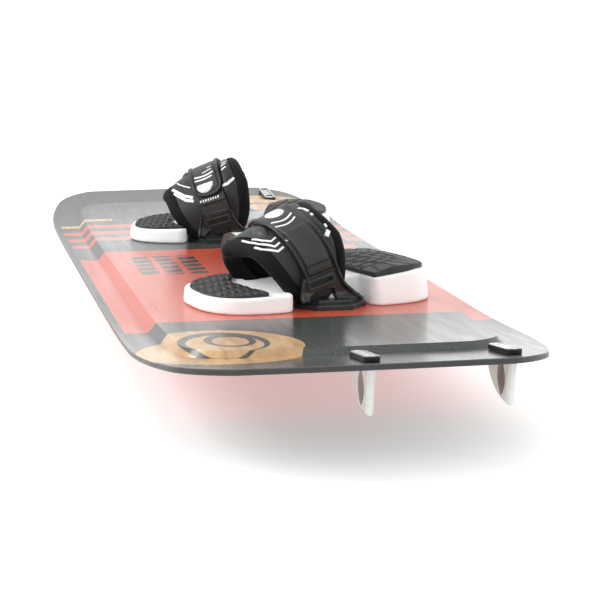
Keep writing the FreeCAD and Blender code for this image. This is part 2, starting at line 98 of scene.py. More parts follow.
for name, place, aim, size, watts in (
        ("key_light", (0.2, 1.9, 1.35), (0, 0, 0), (0.9, 0.9), 28),
        ("side_light", (-1.6, -1.8, 1.2), (-0.2, 0, 0.1), (1.2, 1.2), 4),
        ("sheen_light", (3.0, -1.4, 0.30), (0, -0.1, 0.1), (2.8, 0.55), 6)):
    lamp = bpy.data.objects.new(name, bpy.data.lights.new(name, "AREA"))
    lamp.data.shape, lamp.data.energy = "RECTANGLE", watts
    lamp.data.size, lamp.data.size_y = size
    lamp.visible_camera = False
    lamp.location = place
    lamp.rotation_euler = (Vector(aim) - Vector(place)).to_track_quat("-Z", "Y").to_euler()
    scene.collection.objects.link(lamp)


def piece(name, bm, material, smooth=True):
    """A finished mesh becomes an object at the origin."""
    mesh = bpy.data.meshes.new(name)
    bm.normal_update()
    bm.to_mesh(mesh)
    bm.free()
    mesh.materials.append(material)
    if smooth:
        mesh.shade_smooth()
    made = bpy.data.objects.new(name, mesh)
    scene.collection.objects.link(made)
    return made


floor_finish, _ = finish("floor_paper", Base_Color=colour(0.9, 0.9, 0.89), Roughness=0.9,
                         Emission_Color=colour(1, 1, 1), Emission_Strength=0.33)
floor = bmesh.new()
bmesh.ops.create_grid(floor, x_segments=1, y_segments=1, size=30)
bmesh.ops.translate(floor, verts=floor.verts, vec=(0, 0, FLOOR_Z))
piece("floor", floor, floor_finish)

# ---- Deck, base and rail -----------------------------------------------------------------
# The deck is one printed sheet under a clear gloss: a red middle and red bars on charcoal, and
# a bare wood oval at each tip with a ripple mark. The base is red, the rail black plastic.
CHARCOAL = colour(0.026, 0.034, 0.029)
RED = colour(0.56, 0.058, 0.014)
BASE_RED = colour(0.38, 0.045, 0.024)
WOOD_PALE, WOOD_DARK = colour(0.66, 0.43, 0.20), colour(0.45, 0.24, 0.085)
RED_FIELD = (-0.370, 0.140)
RED_BARS = ((0.257, 0.014), (0.316, 0.014), (0.375, 0.014))
WOOD_BAR = (0.431, 0.009)
OVAL = (0.528, 0.124, 0.098, 0.083)          # centre and half sizes, turned about the middle
RAIL_EDGE = 0.1995


class Recipe:
    """Short names for the nodes that a finish is made of."""

    def __init__(self, material, shader):
        self.tree, self.shader = material.node_tree, shader

    def feed(self, socket, value):
        if isinstance(value, bpy.types.NodeSocket):
            self.tree.links.new(value, socket)
        else:
            socket.default_value = value

    def math(self, operation, a, b=0.0, clamp=False):
        node = self.tree.nodes.new("ShaderNodeMath")
        node.operation, node.use_clamp = operation, clamp
        self.feed(node.inputs[0], a)
        self.feed(node.inputs[1], b)
        return node.outputs[0]

    def stripe(self, across, centre, half, soft=0.0006):
        """1 within half of centre, 0 outside, with a soft edge."""
        off = self.math("ABSOLUTE", self.math("SUBTRACT", across, centre))
        return self.math("DIVIDE", self.math("SUBTRACT", half, off), soft, clamp=True)

    def above(self, value, level, soft=0.0006):
        return self.math("DIVIDE", self.math("SUBTRACT", value, level), soft, clamp=True)

    def both(self, a, b):
        return self.math("MULTIPLY", a, b)

    def either(self, a, b):
        return self.math("MAXIMUM", a, b)

    def without(self, a, b):
        return self.math("MULTIPLY", a, self.math("SUBTRACT", 1.0, b))

    def mix(self, share, under, over):
        node = self.tree.nodes.new("ShaderNodeMix")
        node.data_type = "RGBA"
        for socket, value in ((0, share), (6, under), (7, over)):
            self.feed(node.inputs[socket], value)
        return node.outputs[2]

    def place(self, kind="Object"):
        return self.tree.nodes.new("ShaderNodeTexCoord").outputs[kind]

    def split(self, vector):
        node = self.tree.nodes.new("ShaderNodeSeparateXYZ")
        self.feed(node.inputs[0], vector)
        return node.outputs

    def drawn_out(self, vector, scale):
        node = self.tree.nodes.new("ShaderNodeMapping")
        self.feed(node.inputs["Vector"], vector)
        node.inputs["Scale"].default_value = scale
        return node.outputs[0]

    def noise(self, vector, scale, detail=3.0, rough=0.5):
        node = self.tree.nodes.new("ShaderNodeTexNoise")
        self.feed(node.inputs["Vector"], vector)
        for socket, value in (("Scale", scale), ("Detail", detail), ("Roughness", rough)):
            node.inputs[socket].default_value = value
        return node.outputs["Fac"]

    def cells(self, vector, scale, feature="F1"):
        node = self.tree.nodes.new("ShaderNodeTexVoronoi")
        node.feature = feature
        self.feed(node.inputs["Vector"], vector)
        node.inputs["Scale"].default_value = scale
        return node.outputs["Distance"]

    def span(self, value, low, high, to_low, to_high):
        node = self.tree.nodes.new("ShaderNodeMapRange")
        self.feed(node.inputs[0], value)
        for socket, number in zip(node.inputs[1:5], (low, high, to_low, to_high)):
            socket.default_value = number
        return node.outputs[0]

    def bump(self, height, distance, strength=1.0):
        node = self.tree.nodes.new("ShaderNodeBump")
        self.feed(node.inputs["Height"], height)
        node.inputs["Distance"].default_value = distance
        node.inputs["Strength"].default_value = strength
        self.feed(self.shader.inputs["Normal"], node.outputs[0])

    def paint(self, value):
        self.feed(self.shader.inputs["Base Color"], value)

    def rough(self, value):
        self.feed(self.shader.inputs["Roughness"], value)


def oval_distance(mix, x, y, centre, half):
    """Distance from an oval's middle, 1 on its edge."""
    across = mix.math("DIVIDE", mix.math("SUBTRACT", x, centre[0]), half[0])
    along = mix.math("DIVIDE", mix.math("SUBTRACT", y, centre[1]), half[1])
    return mix.math("SQRT", mix.math("ADD", mix.math("MULTIPLY", across, across),
                                     mix.math("MULTIPLY", along, along)))


def wood_colour(mix, place):
    """Pale strips of wood side by side, each with its own tone and fine grain."""
    grain = mix.noise(mix.drawn_out(place, (9, 160, 160)), 1.0, 6.0, 0.65)
    strip = mix.noise(mix.drawn_out(place, (14, 62, 0)), 1.0, 1.0)
    tone = mix.math("ADD", mix.span(grain, 0.3, 0.75, 0, 0.45),
                    mix.span(strip, 0.42, 0.6, 0, 0.6), clamp=True)
    return mix.mix(tone, WOOD_PALE, WOOD_DARK)


deck_finish, shader = finish("printed_deck", Roughness=0.2, IOR=1.56)
mix = Recipe(deck_finish, shader)
place = mix.place()
x, y, z = mix.split(place)
streak = mix.noise(mix.drawn_out(place, (6, 120, 120)), 1.0, 5.0, 0.6)
speck = mix.noise(place, 900.0, 2.0)
red = mix.stripe(x, sum(RED_FIELD) / 2, (RED_FIELD[1] - RED_FIELD[0]) / 2)
for centre, half in RED_BARS:
    red = mix.either(red, mix.stripe(x, centre, half))
red = mix.without(red, mix.above(y, RAIL_EDGE))
# three rows of slanted dashes on the red, in place of a printed name
slant = mix.math("ADD", x, mix.math("MULTIPLY", y, 0.3))
beat = mix.math("PINGPONG", mix.math("ADD", slant, 1.0), 0.0145)
rows = None
for row in (0.070, 0.100, 0.130):
    line = mix.stripe(y, row, 0.0115)
    rows = line if rows is None else mix.either(rows, line)
dashes = mix.both(mix.both(rows, mix.above(beat, 0.0036, 0.0005)),
                  mix.stripe(x, 0.018, 0.0725))
red = mix.without(red, dashes)
wood = mix.both(mix.stripe(x, *WOOD_BAR), mix.above(y, 0.125))
wood = mix.without(wood, mix.above(y, RAIL_EDGE))
mark = None
for turn in (1, -1):
    cx, cy = -turn * OVAL[0], turn * OVAL[1]
    inside = mix.math("SUBTRACT", 1.0, mix.above(
        oval_distance(mix, x, y, (cx, cy), OVAL[2:]), 1.0, 0.006))
    wood = mix.either(wood, inside)
    for shift_x, shift_y, half_x, half_y, width in (
            (0.012, -0.006, 0.062, 0.042, 0.10), (0.024, -0.014, 0.036, 0.022, 0.17)):
        ring = oval_distance(mix, x, y, (cx + turn * shift_x, cy + turn * shift_y),
                             (half_x, half_y))
        swell = mix.span(mix.math("MULTIPLY", mix.math("SUBTRACT", x, cx), turn),
                         -0.06, 0.07, 0.25, 1.5)
        line = mix.math("DIVIDE", mix.math("SUBTRACT", mix.math("MULTIPLY", swell, width),
                                           mix.math("ABSOLUTE", mix.math("SUBTRACT", ring, 1.0))),
                        0.02, clamp=True)
        mark = line if mark is None else mix.either(mark, line)
wood = mix.without(wood, mix.both(mark, wood))
ink = mix.mix(red, CHARCOAL, RED)
ink = mix.mix(wood, ink, wood_colour(mix, place))
shade = mix.mix(mix.span(streak, 0.3, 0.7, 0.0, 0.16), ink, colour(0.01, 0.01, 0.01))
mix.paint(mix.mix(mix.span(speck, 0.35, 0.65, 0.0, 0.06), shade, colour(1, 1, 1)))
mix.rough(mix.span(streak, 0.2, 0.8, 0.20, 0.29))
mix.bump(mix.math("ADD", streak, mix.math("MULTIPLY", speck, 0.4)), 0.00008, 0.5)

base_finish, shader = finish("printed_base", Roughness=0.28, IOR=1.5)
mix = Recipe(base_finish, shader)
place = mix.place()
x = mix.split(place)[0]
field = mix.stripe(x, 0.0, 0.42)
mix.paint(mix.mix(field, CHARCOAL, BASE_RED))
mix.rough(mix.span(mix.noise(mix.drawn_out(place, (4, 90, 90)), 1.0, 4.0), 0.3, 0.7, 0.2, 0.36))

rail_finish, shader = finish("rail_plastic", Base_Color=colour(0.02, 0.022, 0.021))
mix = Recipe(rail_finish, shader)
place = mix.place()
mix.rough(mix.span(mix.noise(place, 260.0, 4.0), 0.3, 0.7, 0.3, 0.5))
mix.bump(mix.noise(mix.drawn_out(place, (0.2, 1, 1)), 700.0, 3.0), 0.0001, 0.6)

core_finish, shader = finish("core_wood", Roughness=0.6)
mix = Recipe(core_finish, shader)
mix.paint(wood_colour(mix, mix.place()))
for node, made in (("top_sheet", deck_finish), ("base_sheet", base_finish),
                   ("rail_strip", rail_finish), ("wood_core", core_finish)):
    nodes[node].data.materials.clear()
    nodes[node].data.materials.append(made)


def wear(made, *names):
    """These CAD nodes keep their shape and take this finish."""
    for name in names:
        nodes[name].data.materials.clear()
        nodes[name].data.materials.append(made)


# ---- Sleeves, screws and washers ---------------------------------------------------------
# Stainless steel, turned and drilled: fine rings from the lathe.
steel_finish, shader = finish("turned_steel", Metallic=1.0, Base_Color=colour(0.72, 0.72, 0.70))
mix = Recipe(steel_finish, shader)
place = mix.place()
mix.rough(mix.span(mix.noise(mix.drawn_out(place, (1, 1, 6)), 420.0, 4.0), 0.3, 0.7, 0.16, 0.36))
mix.bump(mix.noise(mix.drawn_out(place, (0.3, 0.3, 8)), 600.0, 2.0), 0.00004, 0.5)
wear(steel_finish, "binding_inserts", "spare_inserts", "handle_inserts", "fin_screws",
     "handle_screws", "handle_washers", "binding_screws_near", "binding_screws_far",
     "binding_washers_near", "binding_washers_far")

# ---- Fins and their deck plates ----------------------------------------------------------
# Each fin is cut from pale glass laminate, polished, with a printed leaf outline. Its screws bear
# on an anodised bar on the deck, with a painted highlight on its top and painted shade on its
# sides and along a groove.
FIN_LEAF = (0.030, 0.0125)


def leaf(mix, x, z, middle, half):
    """Distance inside the outline of an upright leaf in the XZ plane, below 0 outside it."""
    drop = mix.math("DIVIDE", mix.math("SUBTRACT", z, middle[1]), half[0] / 1.6)
    width = mix.math("MULTIPLY", half[1], mix.math(
        "SUBTRACT", 1.0, mix.math("MULTIPLY", drop, drop)))
    return mix.math("SUBTRACT", width, mix.math("ABSOLUTE", mix.math("SUBTRACT", x, middle[0])))


for side, sign in (("near", -1), ("far", 1)):
    for label in ("centre", "heel"):
        node = "fin_%s_%s" % (side, label)
        low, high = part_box(node)
        made, shader = finish("fin_glass_%s_%s" % (side, label), Roughness=0.16, IOR=1.52,
                              Subsurface_Weight=0.5, Subsurface_Scale=0.008,
                              Subsurface_Radius=(1.0, 1.0, 0.85), Transmission_Weight=0.25)
        mix = Recipe(made, shader)
        place = mix.place()
        x, y, z = mix.split(place)
        middle = ((low.x + high.x) / 2 + sign * 0.012, low.z + 0.024)
        print_mark = mix.above(leaf(mix, x, z, middle, FIN_LEAF), 0.0, 0.0004)
        veins = mix.stripe(leaf(mix, x, z, middle, FIN_LEAF), 0.0052, 0.0007, 0.0003)
        print_mark = mix.without(print_mark, mix.both(veins, 0.45))
        haze = mix.noise(place, 90.0, 3.0)
        tint = mix.mix(mix.span(haze, 0.3, 0.7, 0, 1), colour(0.83, 0.85, 0.80),
                       colour(0.90, 0.91, 0.87))
        mix.paint(mix.mix(print_mark, tint, colour(0.020, 0.022, 0.018)))
        mix.bump(mix.noise(place, 500.0, 2.0), 0.00005, 0.4)
        wear(made, node)

        node = "fin_plate_%s_%s" % (side, label)
        low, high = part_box(node)
        made, shader = finish("fin_bar_%s_%s" % (side, label), Metallic=0.9)
        mix = Recipe(made, shader)
        place = mix.place()
        x, y, z = mix.split(place)
        facing = mix.tree.nodes.new("ShaderNodeNewGeometry").outputs["Normal"]
        # upward faces take a painted highlight in silver; the sides and the groove take painted
        # shade in dark grey
        top = mix.above(mix.split(facing)[2], 0.75, 0.12)
        groove = mix.stripe(y, low.y + 0.0046, 0.0009, 0.0003)
        brushed = mix.noise(mix.drawn_out(place, (0.08, 1, 1)), 1600.0, 3.0)
        silver = mix.mix(mix.span(brushed, 0.3, 0.7, 0, 1), colour(0.50, 0.52, 0.51),
                         colour(0.66, 0.68, 0.67))
        mix.paint(mix.mix(mix.without(top, groove), colour(0.045, 0.047, 0.048), silver))
        mix.rough(mix.span(brushed, 0.3, 0.7, 0.26, 0.42))
        mix.bump(mix.math("ADD", mix.math("MULTIPLY", brushed, 0.05),
                          mix.math("SUBTRACT", 1.0, groove)), 0.0006, 0.7)
        wear(made, node)

# ---- Grab handle -------------------------------------------------------------------------
# A moulded rubber arch over the middle of the board, matt and pebbled, with a softer pale pad
# let into its top where the palm goes.
rubber_finish, shader = finish("handle_rubber", Base_Color=colour(0.042, 0.036, 0.031))
mix = Recipe(rubber_finish, shader)
place = mix.place()
pebble = mix.cells(place, 620.0)
mix.rough(mix.span(mix.noise(place, 120.0), 0.3, 0.7, 0.5, 0.7))
mix.bump(pebble, 0.00022, 0.7)
wear(rubber_finish, "handle_grip")

palm_finish, shader = finish("palm_pad")
mix = Recipe(palm_finish, shader)
place = mix.place()
ribs = mix.math("PINGPONG", mix.math("ADD", mix.split(place)[0], 1.0), 0.0025)
mix.paint(mix.mix(mix.span(mix.noise(place, 200.0), 0.3, 0.7, 0, 1),
                  colour(0.60, 0.60, 0.58), colour(0.70, 0.70, 0.68)))
mix.rough(0.65)
mix.bump(ribs, 0.0006, 0.8)
wear(palm_finish, "handle_top_pad")

# ---- Foot pads ---------------------------------------------------------------------------
# Each pad is a moulded block of white foam, low at the toes and high at the heel, with rounded
# edges. Black foam tops are let into it: rows of waves under the toes, raised blocks for the heel.
MM = 0.001
DECK_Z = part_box("base_plate_inboard_far")[0].z
PAD_AT = Vector((253.0, -27.0))
PAD_TURN = math.radians(12)


def pad_spot(point):
    """Board metres to the far pad's own millimetres: outboard, towards the toes."""
    from_middle = Vector((point.x / MM, point.y / MM)) - PAD_AT
    cos, sin = math.cos(PAD_TURN), math.sin(PAD_TURN)
    return (from_middle.x * cos - from_middle.y * sin, from_middle.x * sin + from_middle.y * cos)


def moulded_copy(name, node, cell, rounds):
    """The CAD solid as one even skin with its edges rounded, for a foam piece."""
    source = bmesh.new()
    source.from_mesh(nodes[node].data)
    bmesh.ops.remove_doubles(source, verts=source.verts, dist=1e-5)
    block = piece(name + "_block", source, floor_finish)
    skin = block.modifiers.new("skin", "REMESH")
    skin.mode, skin.voxel_size = "VOXEL", cell
    ease = block.modifiers.new("ease", "SMOOTH")
    ease.factor, ease.iterations = 0.5, rounds
    bpy.context.view_layer.update()
    ready = block.evaluated_get(bpy.context.evaluated_depsgraph_get())
    made = bmesh.new()
    made.from_mesh(ready.to_mesh())
    bpy.data.objects.remove(block)
    made.normal_update()
    return made


def mirrored(bm):
    """The same piece for the near binding."""
    other = bm.copy()
    bmesh.ops.scale(other, vec=(-1, 1, 1), verts=other.verts)
    bmesh.ops.reverse_faces(other, faces=other.faces)
    return other


def pair(name, bm, material, replaced):
    """The far piece and its mirror image near, both fixed, in place of their CAD nodes."""
    for side, mesh in (("near", mirrored(bm)), ("far", bm)):
        part = piece("%s_%s" % (name, side), mesh, material)
        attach(part, "root")
        if replaced:
            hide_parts(*["%s_%s" % (node, side) for node in replaced])


def notch(offset, width, depth):
    """Depth of a rounded groove at this distance from its middle line."""
    share = abs(offset) / width
    return depth * (1 - share * share) if share < 1 else 0.0


TOE_ROW, TOE_BLOCK = 8.5, 13.0                # pitch of the toe pad's rows, and of their blocks
HEEL_CENTRE, HEEL_RING, HEEL_FAN, HEEL_FACET = -62, 38, 17.0, 15.0


def toe_groove(u, w):
    """Rows of waves that run across the pad, broken by short cross cuts."""
    bend = 2.4 * math.sin(u / 4.2) + 0.9 * math.sin(u / 2.1 + 1.0)
    row = (w + bend) % TOE_ROW - TOE_ROW / 2
    deep = notch(row, 1.9, 2.3)
    number = math.floor((w + bend) / TOE_ROW)
    cut = (u + TOE_BLOCK / 2 * (number % 2) + 2.0 * row) % TOE_BLOCK - TOE_BLOCK / 2
    return max(deep, notch(cut, 1.3, 1.5))


def heel_groove(u, w):
    """Large blocks: a line round the heel, cuts that fan out from it and facets inside."""
    radius = math.hypot(u, w - HEEL_CENTRE)
    angle = math.degrees(math.atan2(w - HEEL_CENTRE, u))
    deep = notch(radius - HEEL_RING, 1.7, 2.6)
    if radius > HEEL_RING:
        off = math.radians(angle % HEEL_FAN - HEEL_FAN / 2) * radius
        return max(deep, notch(off, 1.5, 2.4))
    for turn in (12, 72, 132):
        a = math.radians(turn)
        line = (u * math.cos(a) + (w - HEEL_CENTRE) * math.sin(a)) % HEEL_FACET - HEEL_FACET / 2
        deep = max(deep, notch(line, 1.4, 1.9))
    return deep


def press_grooves(bm, groove):
    """Sink the grooves into the parts of the skin that face up."""
    for vert in bm.verts:
        if vert.normal.z > 0.4:
            vert.co.z -= groove(*pad_spot(vert.co)) * MM * min(1.0, (vert.normal.z - 0.4) * 3)


# the white foam glows a little, a painted light that brightens the pads
white_glow_finish, shader = finish("white_foam", Base_Color=colour(0.86, 0.87, 0.86),
                              Subsurface_Weight=0.15, Subsurface_Scale=0.004,
                              Emission_Color=colour(1, 1, 1), Emission_Strength=0.07)
mix = Recipe(white_glow_finish, shader)
place = mix.place()
pores = mix.noise(place, 1300.0, 3.0)
scuff = mix.noise(place, 35.0, 4.0)
mix.paint(mix.mix(mix.span(scuff, 0.45, 0.75, 0, 1), colour(0.91, 0.915, 0.91),
                  colour(0.85, 0.86, 0.85)))
mix.rough(mix.span(pores, 0.3, 0.7, 0.5, 0.7))
mix.bump(pores, 0.00012, 0.5)

grip_finish, shader = finish("black_foam")
mix = Recipe(grip_finish, shader)
place = mix.place()
pores = mix.noise(place, 1100.0, 3.0)
mix.paint(mix.mix(mix.span(mix.noise(place, 60.0, 4.0), 0.3, 0.7, 0, 1),
                  colour(0.011, 0.012, 0.011), colour(0.028, 0.028, 0.026)))
mix.rough(mix.span(pores, 0.3, 0.7, 0.42, 0.66))
mix.bump(pores, 0.00015, 0.6)

pair("foot_pad", moulded_copy("foot_pad", "pad_base_far", 0.0017, 5), white_glow_finish,
     ["pad_base"])
for name, node, groove in (("toe_waves", "pad_toe_top", toe_groove),
                           ("heel_blocks", "pad_heel_top", heel_groove)):
    top = moulded_copy(name, node + "_far", 0.0011, 4)
    press_grooves(top, groove)
    pair(name, top, grip_finish, [node])

# ---- Base plates and clamps --------------------------------------------------------------
# Glass-filled nylon plates under each foot of a strap: black, finely grained where they left
# the mould, in a tone that varies a little at random.
nylon_finish, shader = finish("black_nylon", IOR=1.5)
mix = Recipe(nylon_finish, shader)
place = mix.place()
grain = mix.noise(place, 800.0, 3.0, 0.6)
mix.paint(mix.mix(mix.span(mix.noise(place, 70.0, 4.0), 0.3, 0.7, 0, 1),
                  colour(0.010, 0.012, 0.011), colour(0.022, 0.025, 0.0235)))
mix.rough(mix.span(grain, 0.3, 0.7, 0.30, 0.46))
mix.bump(grain, 0.0001, 0.5)
wear(nylon_finish, *["%s_plate_%s_%s" % (kind, place_name, side) for kind in ("base", "clamp")
                     for place_name in ("outboard", "inboard") for side in ("near", "far")])

# ---- Strap arch: the line all its layers follow -------------------------------------------
# The strap stands as an arch over the foot, leaning to the toes and turned square to the foot.
# Along it, lengths are measured from the crest, outboard positive; across it, towards the toes.
STRAP_AT = Vector((253.5, -12.0, DECK_Z / MM))
STRAP_TURN, STRAP_LEAN = math.radians(13.5), math.radians(15.5)
STRAP_PLACE = (Matrix.Scale(MM, 4) @ Matrix.Translation(STRAP_AT)
               @ Matrix.Rotation(-STRAP_TURN, 4, "Z") @ Matrix.Rotation(-STRAP_LEAN, 4, "X"))
ARCH_HALF, ARCH_WIDEST, ARCH_RISE, ARCH_TUCK = 63.0, 46.0, 50.0, 260.0
ARCH_TAPER = 0.0012                           # the arch narrows towards the toes, above its feet
ARCH_STEPS = 360                              # short chords that measure a quarter of the arch
CLAMP_TOP = 10.6

quarter_runs, quarter_angles = [0.0], [0.0]
for step in range(1, ARCH_STEPS + 1):
    angle = math.pi / 2 * step / ARCH_STEPS
    quarter_runs.append(quarter_runs[-1] + math.pi / 2 / ARCH_STEPS * math.hypot(
        ARCH_HALF * math.cos(angle), ARCH_RISE * math.sin(angle)))
    quarter_angles.append(angle)


def arch_line(along, lift=0.0):
    """Sideways place and height of the arch here, lift millimetres out from its line."""
    side, run = math.copysign(1, along), abs(along)
    if run < quarter_runs[-1]:
        at = bisect.bisect_right(quarter_runs, run)
        share = (run - quarter_runs[at - 1]) / (quarter_runs[at] - quarter_runs[at - 1])
        angle = quarter_angles[at - 1] + share * math.pi / 2 / ARCH_STEPS
        return (side * (ARCH_HALF + lift) * math.sin(angle),
                ARCH_WIDEST + (ARCH_RISE + lift) * math.cos(angle))
    angle = (run - quarter_runs[-1]) / ARCH_TUCK
    return (side * (ARCH_HALF - ARCH_TUCK + (ARCH_TUCK + lift) * math.cos(angle)),
            ARCH_WIDEST - (ARCH_TUCK + lift) * math.sin(angle))


def arch_spot(along, across, lift):
    """Board place of a point on the strap."""
    x, z = arch_line(along, lift)
    narrow = 1 - ARCH_TAPER * across * min(max((z - 38) / 30, 0), 1)
    return STRAP_PLACE @ Vector((x * narrow, across, z * narrow))


def arch_length(height):
    """Length along the arch, from the crest, down to this height."""
    low, high = 0.0, quarter_runs[-1] + ARCH_TUCK * 0.24
    for _ in range(40):
        middle = (low + high) / 2
        low, high = (middle, high) if arch_line(middle)[1] > height else (low, middle)
    return low


def toe_edge(along):
    """How far the cover reaches towards the toes, less on its outboard leg."""
    outboard = 0.5 + 0.5 * math.tanh(along / 25)
    grown = 1 - math.exp(-max(arch_line(along)[1], 0) / 38)
    ear = 4 * math.exp(-((along + 33) / 13) ** 2)
    return ear + (26 + 40 * grown) * (1 - outboard) + (14 + 42 * grown) * outboard


def heel_edge(along):
    """How far it reaches back over the instep, a little less near the crest."""
    outboard = 0.5 + 0.5 * math.tanh(along / 25)
    height = max(arch_line(along)[1], 0)
    grown = 1 - math.exp(-height / 28)
    crest = 8 * max(0, (height - 70) / 26)
    return crest - (26 + 32 * grown) * (1 - outboard) - (24 + 23 * grown) * outboard


def droop(along, across):
    """The cover sinks towards its toe rim, most at the crest."""
    reach = min(max((across - 22) / (toe_edge(along) - 22), 0), 1.1)
    return 6.0 * math.exp(-(along / (45 if along > 0 else 28)) ** 2) * reach ** 1.5


def bent_sheet(rows, columns, spot):
    """A grid carried onto the arch by spot(row share, column share) -> along, across, lift."""
    bm = bmesh.new()
    weave = bm.loops.layers.uv.new("weave")
    bmesh.ops.create_grid(bm, x_segments=rows, y_segments=columns, size=0.5)
    laid = {}
    for vert in bm.verts:
        laid[vert.index] = spot(min(max(vert.co.x + 0.5, 0), 1), min(max(vert.co.y + 0.5, 0), 1))
    for face in bm.faces:
        for loop in face.loops:
            along, across, _ = laid[loop.vert.index]
            loop[weave].uv = (along * MM, across * MM)
    for vert in bm.verts:
        vert.co = arch_spot(*laid[vert.index])
    bm.normal_update()
    return bm


def outwards(bm):
    """Turn the faces so that most of them face away from the middle of the arch."""
    middle = STRAP_PLACE @ Vector((0, 0, 30))
    if sum((f.calc_center_median() - middle).dot(f.normal) * f.calc_area()
           for f in bm.faces) < 0:
        bmesh.ops.reverse_faces(bm, faces=bm.faces)
    bm.normal_update()
    return bm


# ---- Padded collars and liner ------------------------------------------------------------
# The foot slides in between two fat rolls of foam in black stretch cloth, one round the toe
# opening and one round the heel opening, and against a soft quilted liner between them.
ROLL_ENDS = arch_length(12.0)
ROLL_END_ROUND = 14.0
TOE_ROLL, HEEL_ROLL = (11.0, 10.5), (9.5, 9.5)    # half size across, and out from the arch
RIM_LIFT = 3.0
LINER_LIFT, LINER_THICK, QUILT = -9.6, 8.5, 24.0


def cloth_finish(name, dark, light, threads, sheen, gloss, rough=(0.62, 0.8)):
    """Fine knitted or woven cloth, from the sheet's own lengths."""
    material, shader = finish(name, Sheen_Weight=sheen, Sheen_Roughness=0.45,
                              Specular_IOR_Level=gloss)
    mix = Recipe(material, shader)
    u, v, _ = mix.split(mix.place("UV"))
    thread = math.pi * 2 * threads
    ribs = mix.math("ADD", mix.math("SINE", mix.math("MULTIPLY", u, thread)),
                    mix.math("SINE", mix.math("MULTIPLY", v, thread)))
    fuzz = mix.noise(mix.place(), 300.0, 4.0)
    mix.paint(mix.mix(mix.span(fuzz, 0.3, 0.7, 0, 1), dark, light))
    mix.rough(mix.span(fuzz, 0.3, 0.7, *rough))
    mix.bump(mix.math("ADD", mix.math("MULTIPLY", ribs, 0.25), fuzz), 0.00018, 0.6)
    return material


def padded_roll(rows, columns, centre, half):
    """A closed roll along the arch, its ends rounded off. centre(along) gives across, lift."""
    def spot(row, column):
        turn = 2 * math.pi * column
        swing = math.pi * row
        along = -ROLL_ENDS * math.cos(swing)
        thick = min(1.0, max(math.sin(swing), 0) * ROLL_ENDS / ROLL_END_ROUND) ** 0.6
        across, lift = centre(along)
        return (along, across + half[0] * thick * math.cos(turn),
                lift + half[1] * thick * math.sin(turn))
    bm = bent_sheet(rows, columns, spot)
    bmesh.ops.remove_doubles(bm, verts=bm.verts, dist=2e-5)
    return outwards(bm)


collar_cloth = cloth_finish("collar_cloth", colour(0.0035, 0.0037, 0.0039),
                            colour(0.007, 0.0075, 0.0075), 900, 0.04, 0.13)
liner_cloth = cloth_finish("liner_cloth", colour(0.003, 0.003, 0.0035),
                           colour(0.006, 0.006, 0.0065), 700, 0.02, 0.1, (0.75, 0.9))


def toe_roll(along):
    return (toe_edge(along) - TOE_ROLL[0],
            RIM_LIFT - TOE_ROLL[1] - droop(along, toe_edge(along)))


def heel_roll(along):
    return heel_edge(along) + HEEL_ROLL[0], RIM_LIFT - HEEL_ROLL[1]


def liner_spot(row, column):
    """Between the two rolls, sewn down in channels across the foot."""
    along = -ROLL_ENDS + 2 * ROLL_ENDS * row
    low, high = heel_edge(along) + 12, toe_edge(along) - 14
    across = low + (high - low) * column
    quilt = abs(math.sin(math.pi * along / QUILT)) ** 0.4 * math.sin(math.pi * column) ** 0.5
    return along, across, LINER_LIFT + 1.8 * (1 - quilt) - droop(along, across)


for name, centre, half, node in (("toe_collar", toe_roll, TOE_ROLL, "collar_toe"),
                                 ("heel_collar", heel_roll, HEEL_ROLL, "collar_heel")):
    pair(name, padded_roll(170, 40, centre, half), collar_cloth,
         [node])
liner = outwards(bent_sheet(120, 28, liner_spot))
bmesh.ops.reverse_faces(liner, faces=liner.faces)
bmesh.ops.solidify(liner, geom=liner.faces[:], thickness=LINER_THICK * MM)
pair("liner", liner, liner_cloth, ["strap_liner"])

# ---- Outer shell -------------------------------------------------------------------------
# A thin coated cloth cover joins the two rolls. A low moulded cushion stands up beside the
# band at the toes and a longer one at the instep, with white rubber chevrons and dashes.
SHELL_TUCK = 14.0                             # the cover's edge, in from the rim of each roll
TOE_CUSHION = (14.0, 30.5, 17.0, 7.5, 5.0)    # along, across, half sizes, height
HEEL_CUSHION = (46.0, -28.0, 34.0, 6.5, 4.2)


def cushion(along, across, shape):
    """Height of a round-shouldered cushion at this place."""
    off = ((along - shape[0]) / shape[2]) ** 4 + ((across - shape[1]) / shape[3]) ** 4
    return shape[4] * math.exp(-off)


def shell_lift(along, across):
    """The cover swells a little, pulls down at its edges, and carries the heel cushion."""
    low, high = heel_edge(along) + SHELL_TUCK, toe_edge(along) - SHELL_TUCK
    share = min(max((across - low) / (high - low), 0), 1)
    swell = 1.6 * (4 * share * (1 - share)) ** 0.5
    return (1.6 + swell + cushion(along, across, HEEL_CUSHION)
            + cushion(-along, across, HEEL_CUSHION) - droop(along, across))


def shell_spot(row, column):
    along = -ROLL_ENDS + 2 * ROLL_ENDS * row
    low, high = heel_edge(along) + SHELL_TUCK, toe_edge(along) - SHELL_TUCK
    across = low + (high - low) * column
    return along, across, shell_lift(along, across)


shell_cloth = cloth_finish("shell_cloth", colour(0.007, 0.0085, 0.008),
                           colour(0.016, 0.0185, 0.0175), 1300, 0.02, 0.42, (0.36, 0.52))
shell = outwards(bent_sheet(170, 64, shell_spot))
bmesh.ops.solidify(shell, geom=shell.faces[:], thickness=0.0016)
pair("shell", shell, shell_cloth, ["strap_shell"])

cushion_finish, shader = finish("moulded_cushion", IOR=1.5)
mix = Recipe(cushion_finish, shader)
place = mix.place()
mix.paint(mix.mix(mix.span(mix.noise(place, 90.0), 0.3, 0.7, 0, 1),
                  colour(0.020, 0.024, 0.022), colour(0.034, 0.040, 0.037)))
mix.rough(mix.span(mix.noise(place, 250.0), 0.3, 0.7, 0.42, 0.58))
mix.bump(mix.cells(place, 800.0), 0.00012, 0.5)


